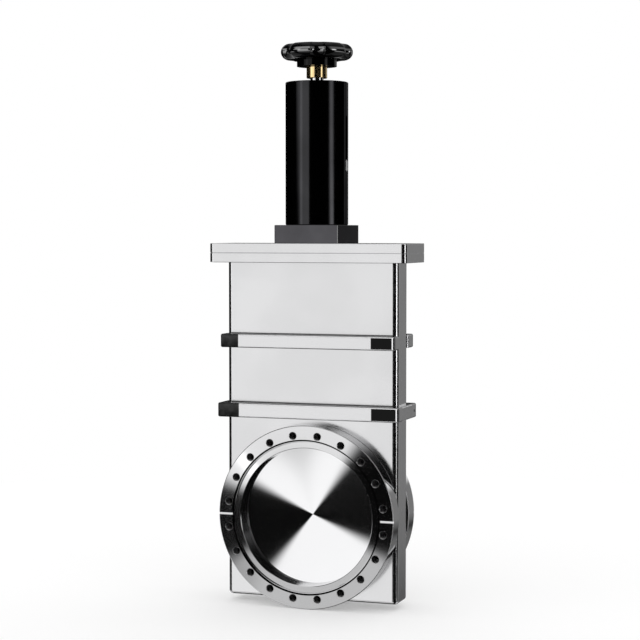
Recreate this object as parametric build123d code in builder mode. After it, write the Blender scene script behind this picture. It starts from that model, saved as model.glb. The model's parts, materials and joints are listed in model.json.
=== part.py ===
from build123d import *
import os
from math import cos, radians, sin, tan

# Hand-operated vacuum gate valve with two knife-edge ports, shown closed.
# Millimetres. The origin is the centre of the front port's sealing face.
# Y runs through the ports from front to rear, Z runs up the valve.

# Running and seating clearances
running_clearance = 0.05
seat_clearance = 0.05
screw_clearance = 0.1
sliding_gap = 0.3

# Knife-edge ports
port_bore_d = 152.4
knife_lip_width = 7.2
knife_slope_width = 2.3
knife_slope_angle = 20.0
knife_tip_depth = 1.0
knife_lip_depth = 2.2
bolt_ring_inset = 4.8
bolt_ring_margin = 10.7
bolt_count = 20
bolt_hole_d = 8.0
bolt_hole_depth = 16.0
bolt_hole_mouth = 0.5
flange_thickness = 20.65
flange_edge_chamfer = 0.8
port_mouth_chamfer = 0.5
leak_groove_width = 2.4
leak_groove_depth = 1.6

# Housing
housing_inset = 2.0
housing_lift = 7.0
housing_depth = 38.1
housing_wall = 5.0
housing_corner_r = 5.8
housing_bottom_r = 3.5
cavity_corner_r = 2.0

# Ribs around the housing
upper_rib_z = 192.1
upper_rib_height = 15.0
upper_rib_overhang = 1.5
upper_rib_reach = 17.15
lower_rib_z = 115.0
lower_rib_height = 15.9
lower_rib_overhang = 5.6
lower_rib_reach = 15.45
rib_edge_r = 1.8
bracket_hole_d = 3.3
bracket_hole_depth = 4.0
bracket_hole_inset = 8.0

# Bonnet joint
bonnet_side_overhang = 14.6
bonnet_face_overhang = 18.15
bonnet_corner_r = 5.2
bonnet_thickness = 10.5
housing_flange_thickness = 10.5
plate_edge_chamfer = 0.5
bonnet_seal_inset = 3.2
bonnet_seal_width = 3.4
bonnet_seal_depth = 2.6
bonnet_screw_columns = 8
bonnet_screw_side_inset = 9.8
bonnet_screw_face_inset = 8.7
bonnet_screw_bite = 8.0
bonnet_clearance = 3.9

# Socket head screws
m6_shank_d = 6.0
m6_head_d = 10.0
m6_head_height = 6.0
m6_socket = 5.0
m4_shank_d = 4.0
m4_head_d = 7.0
m4_head_height = 4.0
m4_socket = 3.0
counterbore_margin = 0.3
socket_depth_share = 0.5

# Gate and carriage
seat_width = 5.8
disc_thickness = 6.35
disc_gap = 0.9
disc_edge_chamfer = 0.6
seal_section_d = 3.5
seal_stand_out = 0.6
seal_inset = 2.9
slide_ring_chamfer = 0.4
plate_gap = 0.8
open_clearance = 1.8
carriage_half_width = 58.0
carriage_corner_r = 14.0
screw_slot_width = 15.0
slot_end_clearance = 1.5
carriage_bridge = 8.5
ball_d = 14.0
ball_pitch = 60.0
drive_pin_d = 6.0
drive_pin_pitch = 92.0
drive_pin_bite = 2.4
leaf_thickness = 0.6
leaf_width = 10.0
leaf_foot = 12.0
leaf_bend_r = 1.6
leaf_spread = 48.0
leaf_inset = 6.0

# Yoke and travelling nut
yoke_gap = 4.0
yoke_width = 64.0
yoke_depth = 24.0
yoke_height = 26.0
nut_body_d = 20.0
nut_body_length = 20.0
nut_flange_width = 46.0
nut_flange_depth = 20.0
nut_flange_thickness = 5.0
nut_screw_pitch = 34.0
nut_screw_bite = 9.0

# Guide rollers and rails
roller_d = 12.0
roller_width = 7.0
roller_pin_d = 3.0
roller_pitch = 120.0
lug_height = 18.0
lug_end_gap = 2.5
rail_thickness = 3.4
rail_width = 20.0
rail_end_gap = 8.0

# Spindle
lead_screw_d = 12.0
screw_tip_length = 2.0
screw_tip_chamfer = 1.0
spindle_shoulder_d = 24.0
spindle_shoulder_length = 4.0
upper_shaft_d = 14.0
indicator_thread_d = 16.0
indicator_thread_margin = 4.0
neck_d = 14.6
neck_length = 4.5
stub_d = 10.0
stub_flat_depth = 1.0

# Seal cartridge in the bonnet
cartridge_d = 24.0
cartridge_drop = 4.3
cartridge_flange_d = 40.0
cartridge_flange_thickness = 3.7
shaft_seal_section = 2.0
shaft_seal_groove_width = 2.4
shaft_seal_spacing = 4.4
shaft_seal_lift = 3.6
cartridge_seal_d = 31.0
cartridge_seal_section = 1.8

# Actuator block and thrust bearing
block_margin = 1.9
block_height = 20.1
block_edge_chamfer = 0.5
block_bore_d = 16.0
block_screw_inset = 7.0
block_screw_bite = 8.0
thrust_washer_thickness = 5.0
thrust_washer_bore_d = 17.0
retainer_thickness = 6.0
retainer_land = 10.1
retainer_screw_count = 4
retainer_screw_bite = 8.0

# Actuator tube
tube_od = 69.2
tube_wall = 6.5
tube_length = 156.8
tube_edge_chamfer = 0.8
tube_screw_bite = 12.0
tube_screw_count = 4
cap_thickness = 9.8
cap_seat_width = 1.2
cap_recess = 2.6
cap_ring_thickness = 1.6
cap_ring_width = 3.0
cap_ring_gap = 9.0
cap_ring_groove_depth = 0.9
bush_d = 20.0
bush_flange_d = 26.0
bush_flange_thickness = 2.0

# Position indicator
indicator_lift = 58.9
indicator_height = 12.6
indicator_travel = 48.0
indicator_slot_margin = 0.4
indicator_key_width = 6.0
indicator_key_stand_out = 0.3
indicator_key_bite = 4.0

# Handwheel
collar_d = 22.8
collar_length = 12.8
collar_edge_chamfer = 0.5
handwheel_d = 79.3
handwheel_boss_d = 43.9
handwheel_boss_height = 7.4
rim_height = 16.8
rim_inner_d = 52.0
dish_d = 34.0
dish_depth = 6.5
scallop_count = 6
scallop_angle = -69.4
scallop_r = 11.0
scallop_depth = 4.2
scallop_edge_r = 0.9
scallop_overrun = 0.6
hub_washer_d = 18.0
hub_washer_thickness = 1.6
hub_screw_bite = 12.0

# Sizes that follow from the ones above
knife_edge_d = port_bore_d + 2 * knife_lip_width
gasket_recess_d = knife_edge_d + 2 * knife_slope_width
bolt_circle_d = gasket_recess_d + 2 * bolt_ring_inset
flange_od = bolt_circle_d + 2 * bolt_ring_margin
face_to_face = housing_depth + 2 * flange_thickness
mid_y = face_to_face / 2
bore_r = port_bore_d / 2

disc_r = bore_r + seat_width
gate_stroke = bore_r + disc_r + open_clearance
carriage_thickness = 2 * (housing_depth / 2 - housing_wall - disc_gap - disc_thickness - plate_gap)
yoke_bottom_z = disc_r + yoke_gap
yoke_top_z = yoke_bottom_z + yoke_height
nut_top_z = yoke_top_z + nut_flange_thickness
screw_tip_z = yoke_top_z - nut_body_length - screw_tip_length
screw_slot_bottom_z = screw_tip_z - gate_stroke - slot_end_clearance
carriage_bottom_z = screw_slot_bottom_z - carriage_bridge

housing_width = flange_od - 2 * housing_inset
housing_bottom_z = housing_lift - flange_od / 2
cavity_width = housing_width - 2 * housing_wall
cavity_depth = housing_depth - 2 * housing_wall
cavity_bottom_z = housing_bottom_z + housing_wall
bonnet_headroom = cartridge_drop + m4_head_height
bonnet_joint_z = nut_top_z + gate_stroke + bonnet_headroom + bonnet_clearance
housing_top_z = bonnet_joint_z - housing_flange_thickness
bonnet_top_z = bonnet_joint_z + bonnet_thickness
bonnet_width = housing_width + 2 * bonnet_side_overhang
bonnet_depth = housing_depth + 2 * bonnet_face_overhang

block_top_z = bonnet_top_z + block_height
tube_top_z = block_top_z + tube_length
tube_id = tube_od - 2 * tube_wall
block_width = tube_od + 2 * block_margin
thrust_bearing_d = tube_id - 2 * retainer_land
retainer_screw_circle_d = tube_id - retainer_land
tube_wall_circle_d = tube_od - tube_wall
thrust_seat_z = block_top_z - 2 * thrust_washer_thickness - spindle_shoulder_length
shoulder_bottom_z = thrust_seat_z + thrust_washer_thickness
shoulder_top_z = shoulder_bottom_z + spindle_shoulder_length
cap_d = tube_id + 2 * cap_seat_width
cap_top_z = tube_top_z - cap_recess
cap_bottom_z = cap_top_z - cap_thickness
indicator_bottom_z = block_top_z + indicator_lift
indicator_top_z = indicator_bottom_z + indicator_height
indicator_mid_z = indicator_bottom_z + indicator_height / 2
indicator_slot_width = indicator_key_width + 2 * sliding_gap
indicator_slot_length = indicator_height + indicator_travel + 2 * indicator_slot_margin
indicator_slot_mid_z = indicator_mid_z + indicator_travel / 2
neck_top_z = tube_top_z + neck_length
boss_bottom_z = neck_top_z + collar_length
rim_bottom_z = boss_bottom_z + handwheel_boss_height
rim_top_z = rim_bottom_z + rim_height
hub_top_z = rim_top_z - dish_depth

rail_face_x = cavity_width / 2 - rail_thickness
roller_x = rail_face_x - sliding_gap - roller_d / 2
roller_slot_width = roller_width + 2 * sliding_gap

spindle_axis = Axis((0, mid_y, 0), (0, 0, 1))
spindle_section = Plane.XZ.offset(-mid_y)


def level(z):
    """Horizontal plane at height z with its origin on the spindle axis."""
    return Plane((0, mid_y, z), x_dir=(1, 0, 0), z_dir=(0, 0, 1))


def upright(y):
    """Vertical plane at depth y, drawn as seen from the front, its normal pointing forward."""
    return Plane.XZ.offset(-y)


def cap_screw(shank_d, head_d, head_height, socket, shank_length):
    """Socket head screw, the seat under its head at Z = 0 and its shank pointing down."""
    with BuildPart() as screw:
        with BuildSketch():
            Circle(head_d / 2)
        extrude(amount=head_height)
        with BuildSketch():
            Circle(shank_d / 2)
        extrude(amount=-shank_length)
        with BuildSketch(Plane.XY.offset(head_height)):
            RegularPolygon(socket / 2, 6, major_radius=False)
        extrude(amount=-head_height * socket_depth_share, mode=Mode.SUBTRACT)
    return screw.part


def screw_hole(head_d, head_height, shank_d):
    """Counterbored clearance hole for a socket head screw, its head just below the surface."""
    CounterBoreHole(
        radius=shank_d / 2 + screw_clearance,
        counter_bore_radius=head_d / 2 + counterbore_margin,
        counter_bore_depth=head_height + counterbore_margin,
    )


# Front port flange: bolt face, gasket recess with its knife edge, lip and bore
recess_slope_drop = knife_slope_width * tan(radians(knife_slope_angle))
with BuildPart() as front_flange:
    with BuildSketch(Plane.XY):
        with BuildLine():
            Polyline(
                (bore_r, flange_thickness),
                (bore_r, knife_lip_depth + port_mouth_chamfer),
                (bore_r + port_mouth_chamfer, knife_lip_depth),
                (knife_edge_d / 2, knife_lip_depth),
                (knife_edge_d / 2, knife_tip_depth),
                (gasket_recess_d / 2, knife_tip_depth + recess_slope_drop),
                (gasket_recess_d / 2, 0),
                (flange_od / 2 - flange_edge_chamfer, 0),
                (flange_od / 2, flange_edge_chamfer),
                (flange_od / 2, flange_thickness - flange_edge_chamfer),
                (flange_od / 2 - flange_edge_chamfer, flange_thickness),
                close=True,
            )
        make_face()
    revolve(axis=Axis.Y)
    with Locations(upright(0)):
        with PolarLocations(bolt_circle_d / 2, bolt_count, start_angle=180 / bolt_count):
            CounterSinkHole(
                radius=bolt_hole_d / 2,
                counter_sink_radius=bolt_hole_d / 2 + bolt_hole_mouth,
                depth=bolt_hole_depth,
                counter_sink_angle=90,
            )
    with BuildSketch(upright(0)):
        with Locations((gasket_recess_d / 2, 0), (-gasket_recess_d / 2, 0)):
            Rectangle(2 * (flange_od - gasket_recess_d), leak_groove_width)
        Circle(gasket_recess_d / 2 - knife_slope_width / 2, mode=Mode.SUBTRACT)
    extrude(amount=-leak_groove_depth, mode=Mode.SUBTRACT)
front_flange.part.label = "front_flange"

# Rear port flange: the same flange facing backwards
with BuildPart() as rear_flange:
    mirror(front_flange.part, about=upright(mid_y))
rear_flange.part.label = "rear_flange"

# Housing: welded box, open at the top, with a round window behind each port
with BuildPart() as gate_housing:
    with BuildSketch(level(housing_bottom_z)):
        RectangleRounded(housing_width, housing_depth, housing_corner_r)
    extrude(amount=housing_top_z - housing_bottom_z)
    fillet(gate_housing.faces().sort_by(Axis.Z)[0].edges(), housing_bottom_r)
    with BuildSketch(level(cavity_bottom_z)):
        RectangleRounded(cavity_width, cavity_depth, cavity_corner_r)
    extrude(amount=housing_top_z - cavity_bottom_z, mode=Mode.SUBTRACT)
    with BuildSketch(upright(mid_y)):
        Circle(bore_r)
    extrude(amount=housing_depth, both=True, mode=Mode.SUBTRACT)
gate_housing.part.label = "gate_housing"

# Ribs: bars welded across the housing's front and rear walls
front_wall_y = mid_y - housing_depth / 2


def rib_bar(overhang, z, height, reach):
    """Bar across the front wall at height z, its outer edges rounded."""
    with BuildPart() as bar:
        with BuildSketch(upright(front_wall_y)):
            with Locations((0, z)):
                Rectangle(housing_width + 2 * overhang, height)
        extrude(amount=reach)
        outer_face = bar.faces().sort_by(Axis.Y)[0]
        end_edges = bar.edges().filter_by(Axis.Y)
        fillet(outer_face.edges() + end_edges, rib_edge_r)
    return bar.part


upper_rib_front = rib_bar(upper_rib_overhang, upper_rib_z, upper_rib_height, upper_rib_reach)
upper_rib_front.label = "upper_rib_front"
with BuildPart() as upper_rib_rear:
    mirror(upper_rib_front, about=upright(mid_y))
upper_rib_rear.part.label = "upper_rib_rear"

# Lower rib: two bars joined by a strip along each side, with a tapped bracket hole on the right
lower_rib_front = rib_bar(lower_rib_overhang, lower_rib_z, lower_rib_height, lower_rib_reach)
lower_rib_front.label = "lower_rib_front"
rib_end = Plane(
    (housing_width / 2 + lower_rib_overhang, mid_y, lower_rib_z),
    x_dir=(0, 1, 0),
    z_dir=(1, 0, 0),
)
with BuildPart() as lower_rib_rear:
    mirror(lower_rib_front, about=upright(mid_y))
    with Locations(rib_end):
        with Locations((housing_depth / 2 + lower_rib_reach - bracket_hole_inset, 0)):
            Hole(bracket_hole_d / 2, depth=bracket_hole_depth)
lower_rib_rear.part.label = "lower_rib_rear"


def rib_strip(side):
    """Strip along the left (side -1) or right (side 1) wall, flush with the bars' ends."""
    with BuildPart() as strip:
        with BuildSketch(level(lower_rib_z - lower_rib_height / 2)):
            with Locations((side * (housing_width + lower_rib_overhang) / 2, 0)):
                Rectangle(lower_rib_overhang, housing_depth)
        extrude(amount=lower_rib_height)
        outer_face = strip.faces().filter_by(Axis.X).sort_by(Axis.X)[-1 if side > 0 else 0]
        fillet(outer_face.edges().filter_by(Axis.Y), rib_edge_r)
    return strip.part


lower_rib_left = rib_strip(-1)
lower_rib_left.label = "lower_rib_left"
lower_rib_right = rib_strip(1)
lower_rib_right.label = "lower_rib_right"

# Housing flange: welded on top of the housing, with the bonnet seal's groove and tapped holes
seal_outline_width = cavity_width + 2 * bonnet_seal_inset
seal_outline_depth = cavity_depth + 2 * bonnet_seal_inset
seal_outline_r = cavity_corner_r + bonnet_seal_inset
screw_columns = bonnet_width - 2 * bonnet_screw_side_inset
screw_column_pitch = screw_columns / (bonnet_screw_columns - 1)
screw_row_pitch = bonnet_depth - 2 * bonnet_screw_face_inset
m6_sink = m6_head_height + counterbore_margin
with BuildPart() as housing_flange:
    with BuildSketch(level(housing_top_z)):
        RectangleRounded(bonnet_width, bonnet_depth, bonnet_corner_r)
    extrude(amount=housing_flange_thickness)
    chamfer(housing_flange.faces().sort_by(Axis.Z)[-1].edges(), plate_edge_chamfer)
    chamfer(housing_flange.faces().sort_by(Axis.Z)[0].edges(), plate_edge_chamfer)
    with BuildSketch(level(housing_top_z)):
        RectangleRounded(cavity_width, cavity_depth, cavity_corner_r)
    extrude(amount=housing_flange_thickness, mode=Mode.SUBTRACT)
    with BuildSketch(level(bonnet_joint_z)):
        RectangleRounded(
            seal_outline_width + 2 * bonnet_seal_width,
            seal_outline_depth + 2 * bonnet_seal_width,
            seal_outline_r + bonnet_seal_width,
        )
        RectangleRounded(
            seal_outline_width,
            seal_outline_depth,
            seal_outline_r,
            mode=Mode.SUBTRACT,
        )
    extrude(amount=-bonnet_seal_depth, mode=Mode.SUBTRACT)
    with Locations(level(bonnet_joint_z)):
        with GridLocations(screw_column_pitch, screw_row_pitch, bonnet_screw_columns, 2):
            Hole(m6_shank_d / 2 + screw_clearance, depth=bonnet_screw_bite)
housing_flange.part.label = "housing_flange"

# Bonnet seal: rubber ring pressed flat in its groove
with BuildPart() as bonnet_seal:
    with BuildSketch(level(bonnet_joint_z)):
        RectangleRounded(
            seal_outline_width + 2 * bonnet_seal_width - 2 * seat_clearance,
            seal_outline_depth + 2 * bonnet_seal_width - 2 * seat_clearance,
            seal_outline_r + bonnet_seal_width - seat_clearance,
        )
        RectangleRounded(
            seal_outline_width + 2 * seat_clearance,
            seal_outline_depth + 2 * seat_clearance,
            seal_outline_r + seat_clearance,
            mode=Mode.SUBTRACT,
        )
    extrude(amount=-bonnet_seal_depth)
bonnet_seal.part.label = "bonnet_seal"

# Bonnet: cover plate with sunk screws and a stepped seat for the seal cartridge
with BuildPart() as bonnet_plate:
    with BuildSketch(level(bonnet_joint_z)):
        RectangleRounded(bonnet_width, bonnet_depth, bonnet_corner_r)
    extrude(amount=bonnet_thickness)
    chamfer(bonnet_plate.faces().sort_by(Axis.Z)[-1].edges(), plate_edge_chamfer)
    chamfer(bonnet_plate.faces().sort_by(Axis.Z)[0].edges(), plate_edge_chamfer)
    with Locations(level(bonnet_top_z)):
        with GridLocations(screw_column_pitch, screw_row_pitch, bonnet_screw_columns, 2):
            screw_hole(m6_head_d, m6_head_height, m6_shank_d)
        CounterBoreHole(
            radius=cartridge_d / 2 + seat_clearance,
            counter_bore_radius=cartridge_flange_d / 2 + seat_clearance,
            counter_bore_depth=cartridge_flange_thickness,
        )
        block_screw_pitch = block_width - 2 * block_screw_inset
        with GridLocations(block_screw_pitch, block_screw_pitch, 2, 2):
            Hole(m6_shank_d / 2 + screw_clearance, depth=block_screw_bite)
    cartridge_seat_z = bonnet_top_z - cartridge_flange_thickness
    with BuildSketch(level(cartridge_seat_z)):
        Circle(cartridge_seal_d / 2 + cartridge_seal_section / 2 + seat_clearance)
        Circle(
            cartridge_seal_d / 2 - cartridge_seal_section / 2 - seat_clearance,
            mode=Mode.SUBTRACT,
        )
    extrude(amount=-cartridge_seal_section, mode=Mode.SUBTRACT)
bonnet_plate.part.label = "bonnet_plate"

# Bonnet screws, their heads sunk below the bonnet's top
m6_seat_z = bonnet_top_z - m6_sink
bonnet_screw = cap_screw(
    m6_shank_d,
    m6_head_d,
    m6_head_height,
    m6_socket,
    m6_seat_z - bonnet_joint_z + bonnet_screw_bite - sliding_gap,
)
with BuildPart() as bonnet_screws:
    with Locations(level(m6_seat_z)):
        with GridLocations(screw_column_pitch, screw_row_pitch, bonnet_screw_columns, 2):
            add(bonnet_screw)
bonnet_screws.part.label = "bonnet_screws"

# Seal cartridge: flanged sleeve around the spindle with two shaft seal grooves
cartridge_bottom_z = bonnet_joint_z - cartridge_drop
shaft_bore_r = lead_screw_d / 2 + running_clearance
shaft_seal_zs = [
    cartridge_bottom_z + shaft_seal_lift,
    cartridge_bottom_z + shaft_seal_lift + shaft_seal_spacing,
]
with BuildPart() as seal_cartridge:
    with BuildSketch(level(cartridge_bottom_z)):
        Circle(cartridge_d / 2)
    extrude(amount=bonnet_top_z - cartridge_bottom_z)
    with BuildSketch(level(cartridge_seat_z)):
        Circle(cartridge_flange_d / 2)
    extrude(amount=cartridge_flange_thickness)
    with BuildSketch(level(cartridge_bottom_z)):
        Circle(shaft_bore_r)
    extrude(amount=bonnet_top_z - cartridge_bottom_z, mode=Mode.SUBTRACT)
    for seal_z in shaft_seal_zs:
        with BuildSketch(level(seal_z - shaft_seal_groove_width / 2)):
            Circle(shaft_bore_r + shaft_seal_section + seat_clearance)
        extrude(amount=shaft_seal_groove_width, mode=Mode.SUBTRACT)
seal_cartridge.part.label = "seal_cartridge"

# Shaft seals: two square rubber rings that the spindle turns in
with BuildPart() as shaft_seals:
    for seal_z in shaft_seal_zs:
        with BuildSketch(level(seal_z - shaft_seal_section / 2)):
            Circle(shaft_bore_r + shaft_seal_section)
            Circle(shaft_bore_r, mode=Mode.SUBTRACT)
        extrude(amount=shaft_seal_section)
shaft_seals.part.label = "shaft_seals"

# Cartridge seal: square rubber ring under the cartridge's flange
with BuildPart() as cartridge_seal:
    with BuildSketch(level(cartridge_seat_z)):
        Circle(cartridge_seal_d / 2 + cartridge_seal_section / 2)
        Circle(cartridge_seal_d / 2 - cartridge_seal_section / 2, mode=Mode.SUBTRACT)
    extrude(amount=-cartridge_seal_section)
cartridge_seal.part.label = "cartridge_seal"

# Actuator block: carries the tube and holds the spindle's thrust bearing
m4_sink = m4_head_height + counterbore_margin
with BuildPart() as actuator_block:
    with BuildSketch(level(bonnet_top_z)):
        Rectangle(block_width, block_width)
    extrude(amount=block_height)
    chamfer(actuator_block.edges(), block_edge_chamfer)
    with Locations(level(block_top_z)):
        with GridLocations(block_screw_pitch, block_screw_pitch, 2, 2):
            screw_hole(m6_head_d, m6_head_height, m6_shank_d)
        CounterBoreHole(
            radius=block_bore_d / 2,
            counter_bore_radius=thrust_bearing_d / 2 + seat_clearance,
            counter_bore_depth=block_top_z - thrust_seat_z,
        )
        with PolarLocations(retainer_screw_circle_d / 2, retainer_screw_count, start_angle=45):
            Hole(m4_shank_d / 2 + screw_clearance, depth=retainer_screw_bite)
    block_underside = Plane((0, mid_y, bonnet_top_z), x_dir=(1, 0, 0), z_dir=(0, 0, -1))
    with Locations(block_underside):
        with PolarLocations(tube_wall_circle_d / 2, tube_screw_count):
            screw_hole(m4_head_d, m4_head_height, m4_shank_d)
actuator_block.part.label = "actuator_block"

# Block screws, sunk into the block's corners
block_screw_seat_z = block_top_z - m6_sink
block_screw = cap_screw(
    m6_shank_d,
    m6_head_d,
    m6_head_height,
    m6_socket,
    block_screw_seat_z - bonnet_top_z + block_screw_bite - sliding_gap,
)
with BuildPart() as block_screws:
    with Locations(level(block_screw_seat_z)):
        with GridLocations(block_screw_pitch, block_screw_pitch, 2, 2):
            add(block_screw)
block_screws.part.label = "block_screws"

# Thrust washers above and below the spindle's shoulder
with BuildPart() as lower_thrust_washer:
    with BuildSketch(level(thrust_seat_z)):
        Circle(thrust_bearing_d / 2)
        Circle(thrust_washer_bore_d / 2, mode=Mode.SUBTRACT)
    extrude(amount=thrust_washer_thickness - running_clearance)
lower_thrust_washer.part.label = "lower_thrust_washer"

with BuildPart() as upper_thrust_washer:
    with BuildSketch(level(shoulder_top_z + running_clearance)):
        Circle(thrust_bearing_d / 2)
        Circle(thrust_washer_bore_d / 2, mode=Mode.SUBTRACT)
    extrude(amount=thrust_washer_thickness - running_clearance)
upper_thrust_washer.part.label = "upper_thrust_washer"

# Bearing retainer: ring inside the foot of the tube that shuts the thrust bearing in
retainer_top_z = block_top_z + retainer_thickness
with BuildPart() as bearing_retainer:
    with BuildSketch(level(block_top_z)):
        Circle(tube_id / 2 - seat_clearance)
        Circle(thrust_washer_bore_d / 2, mode=Mode.SUBTRACT)
    extrude(amount=retainer_thickness)
    with Locations(level(retainer_top_z)):
        with PolarLocations(retainer_screw_circle_d / 2, retainer_screw_count, start_angle=45):
            screw_hole(m4_head_d, m4_head_height, m4_shank_d)
bearing_retainer.part.label = "bearing_retainer"

retainer_screw_seat_z = retainer_top_z - m4_sink
retainer_screw = cap_screw(
    m4_shank_d,
    m4_head_d,
    m4_head_height,
    m4_socket,
    retainer_screw_seat_z - block_top_z + retainer_screw_bite - sliding_gap,
)
with BuildPart() as retainer_screws:
    with Locations(level(retainer_screw_seat_z)):
        with PolarLocations(retainer_screw_circle_d / 2, retainer_screw_count, start_angle=45):
            add(retainer_screw)
retainer_screws.part.label = "retainer_screws"

# Actuator tube: slotted on its right side, stepped at the top for the cap
indicator_side = Plane((0, mid_y, 0), x_dir=(0, 1, 0), z_dir=(1, 0, 0))
with BuildPart() as actuator_tube:
    with BuildSketch(level(block_top_z)):
        Circle(tube_od / 2)
    extrude(amount=tube_length)
    chamfer(actuator_tube.edges().filter_by(GeomType.CIRCLE), tube_edge_chamfer)
    with BuildSketch(level(block_top_z)):
        Circle(tube_id / 2)
    extrude(amount=tube_length, mode=Mode.SUBTRACT)
    with BuildSketch(level(cap_bottom_z)):
        Circle(cap_d / 2)
    extrude(amount=tube_top_z - cap_bottom_z, mode=Mode.SUBTRACT)
    with BuildSketch(level(cap_top_z)):
        Circle(cap_d / 2 + cap_ring_groove_depth)
    extrude(amount=cap_ring_thickness, mode=Mode.SUBTRACT)
    with BuildSketch(indicator_side):
        with Locations((0, indicator_slot_mid_z)):
            SlotOverall(indicator_slot_length, indicator_slot_width, rotation=90)
    extrude(amount=tube_od, mode=Mode.SUBTRACT)
    tube_foot = Plane((0, mid_y, block_top_z), x_dir=(1, 0, 0), z_dir=(0, 0, -1))
    with Locations(tube_foot):
        with PolarLocations(tube_wall_circle_d / 2, tube_screw_count):
            Hole(m4_shank_d / 2 + screw_clearance, depth=tube_screw_bite)
actuator_tube.part.label = "actuator_tube"

# Tube screws, driven up from under the block into the tube's wall
tube_screw = cap_screw(
    m4_shank_d,
    m4_head_d,
    m4_head_height,
    m4_socket,
    block_height - m4_sink + tube_screw_bite - sliding_gap,
)
tube_screw_seat = Plane((0, mid_y, bonnet_top_z + m4_sink), x_dir=(1, 0, 0), z_dir=(0, 0, -1))
with BuildPart() as tube_screws:
    with Locations(tube_screw_seat):
        with PolarLocations(tube_wall_circle_d / 2, tube_screw_count):
            add(tube_screw)
tube_screws.part.label = "tube_screws"

# Tube cap: closes the tube and carries the upper bush
with BuildPart() as tube_cap:
    with BuildSketch(level(cap_bottom_z)):
        Circle(cap_d / 2 - seat_clearance)
        Circle(bush_d / 2 + seat_clearance, mode=Mode.SUBTRACT)
    extrude(amount=cap_thickness)
    with BuildSketch(level(cap_top_z)):
        Circle(bush_flange_d / 2 + seat_clearance)
    extrude(amount=-bush_flange_thickness, mode=Mode.SUBTRACT)
tube_cap.part.label = "tube_cap"

# Cap ring: open spring ring that keeps the cap in the tube
with BuildPart() as cap_ring:
    with BuildSketch(level(cap_top_z + seat_clearance)):
        Circle(cap_d / 2 + cap_ring_groove_depth - seat_clearance)
        Circle(cap_d / 2 + cap_ring_groove_depth - cap_ring_width, mode=Mode.SUBTRACT)
        with Locations((0, cap_d / 2)):
            Rectangle(cap_ring_gap, 2 * cap_ring_width, mode=Mode.SUBTRACT)
    extrude(amount=cap_ring_thickness - 2 * seat_clearance)
cap_ring.part.label = "cap_ring"

# Upper bush: flanged bronze bearing for the spindle's neck
with BuildPart() as upper_bush:
    with BuildSketch(level(cap_bottom_z)):
        Circle(bush_d / 2)
    extrude(amount=cap_thickness)
    with BuildSketch(level(cap_top_z)):
        Circle(bush_flange_d / 2)
    extrude(amount=-bush_flange_thickness)
    with BuildSketch(level(cap_bottom_z)):
        Circle(neck_d / 2 + running_clearance)
    extrude(amount=cap_thickness, mode=Mode.SUBTRACT)
upper_bush.part.label = "upper_bush"

# Guide rails on the housing's inner side walls
rail_bottom_z = cavity_bottom_z + rail_end_gap
rail_top_z = housing_top_z - rail_end_gap


def guide_rail(side):
    """Flat rail on the left (side -1) or right (side 1) inner wall."""
    rail_x = side * (cavity_width / 2 - rail_thickness / 2)
    with BuildPart() as rail:
        with BuildSketch(level(rail_bottom_z)):
            with Locations((rail_x, 0)):
                Rectangle(rail_thickness, rail_width)
        extrude(amount=rail_top_z - rail_bottom_z)
    return rail.part


guide_rail_left = guide_rail(-1)
guide_rail_left.label = "guide_rail_left"
guide_rail_right = guide_rail(1)
guide_rail_right.label = "guide_rail_right"

# Carriage: forked plate between the two discs, with the yoke on top and a lug for each roller
lug_end_x = rail_face_x - lug_end_gap
with BuildPart() as carriage:
    with BuildSketch(upright(mid_y)):
        plate_height = yoke_bottom_z - carriage_bottom_z
        with Locations((0, carriage_bottom_z + plate_height / 2)):
            RectangleRounded(2 * carriage_half_width, plate_height, carriage_corner_r)
        with Locations((0, roller_pitch / 2), (0, -roller_pitch / 2)):
            Rectangle(2 * lug_end_x, lug_height)
    extrude(amount=carriage_thickness / 2, both=True)
    with BuildSketch(level(yoke_bottom_z)):
        Rectangle(yoke_width, yoke_depth)
    extrude(amount=yoke_height)
    with BuildSketch(upright(mid_y)):
        slot_height = yoke_bottom_z - screw_slot_bottom_z
        with Locations((0, screw_slot_bottom_z + slot_height / 2)):
            Rectangle(screw_slot_width, slot_height)
    extrude(amount=carriage_thickness, both=True, mode=Mode.SUBTRACT)
    with BuildSketch(level(yoke_top_z)):
        Circle(nut_body_d / 2 + seat_clearance)
    extrude(amount=-nut_body_length, mode=Mode.SUBTRACT)
    with BuildSketch(level(yoke_bottom_z)):
        Circle(screw_slot_width / 2)
    extrude(amount=yoke_height, mode=Mode.SUBTRACT)
    with BuildSketch(level(yoke_top_z)):
        with GridLocations(nut_screw_pitch, 0, 2, 1):
            Circle(m4_shank_d / 2 + screw_clearance)
    extrude(amount=-nut_screw_bite, mode=Mode.SUBTRACT)
    with BuildSketch(upright(mid_y)):
        with GridLocations(2 * lug_end_x, roller_pitch, 2, 2):
            Rectangle(2 * (roller_d + lug_end_gap), 2 * roller_d)
    extrude(amount=roller_slot_width / 2, both=True, mode=Mode.SUBTRACT)
    with BuildSketch(upright(mid_y)):
        with GridLocations(2 * roller_x, roller_pitch, 2, 2):
            Circle(roller_pin_d / 2 + seat_clearance)
        with GridLocations(ball_pitch, ball_pitch, 2, 2):
            Circle(ball_d / 2 + seat_clearance)
        with GridLocations(drive_pin_pitch, 0, 2, 1):
            Circle(drive_pin_d / 2 + seat_clearance)
    extrude(amount=carriage_thickness, both=True, mode=Mode.SUBTRACT)
carriage.part.label = "carriage"

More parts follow.
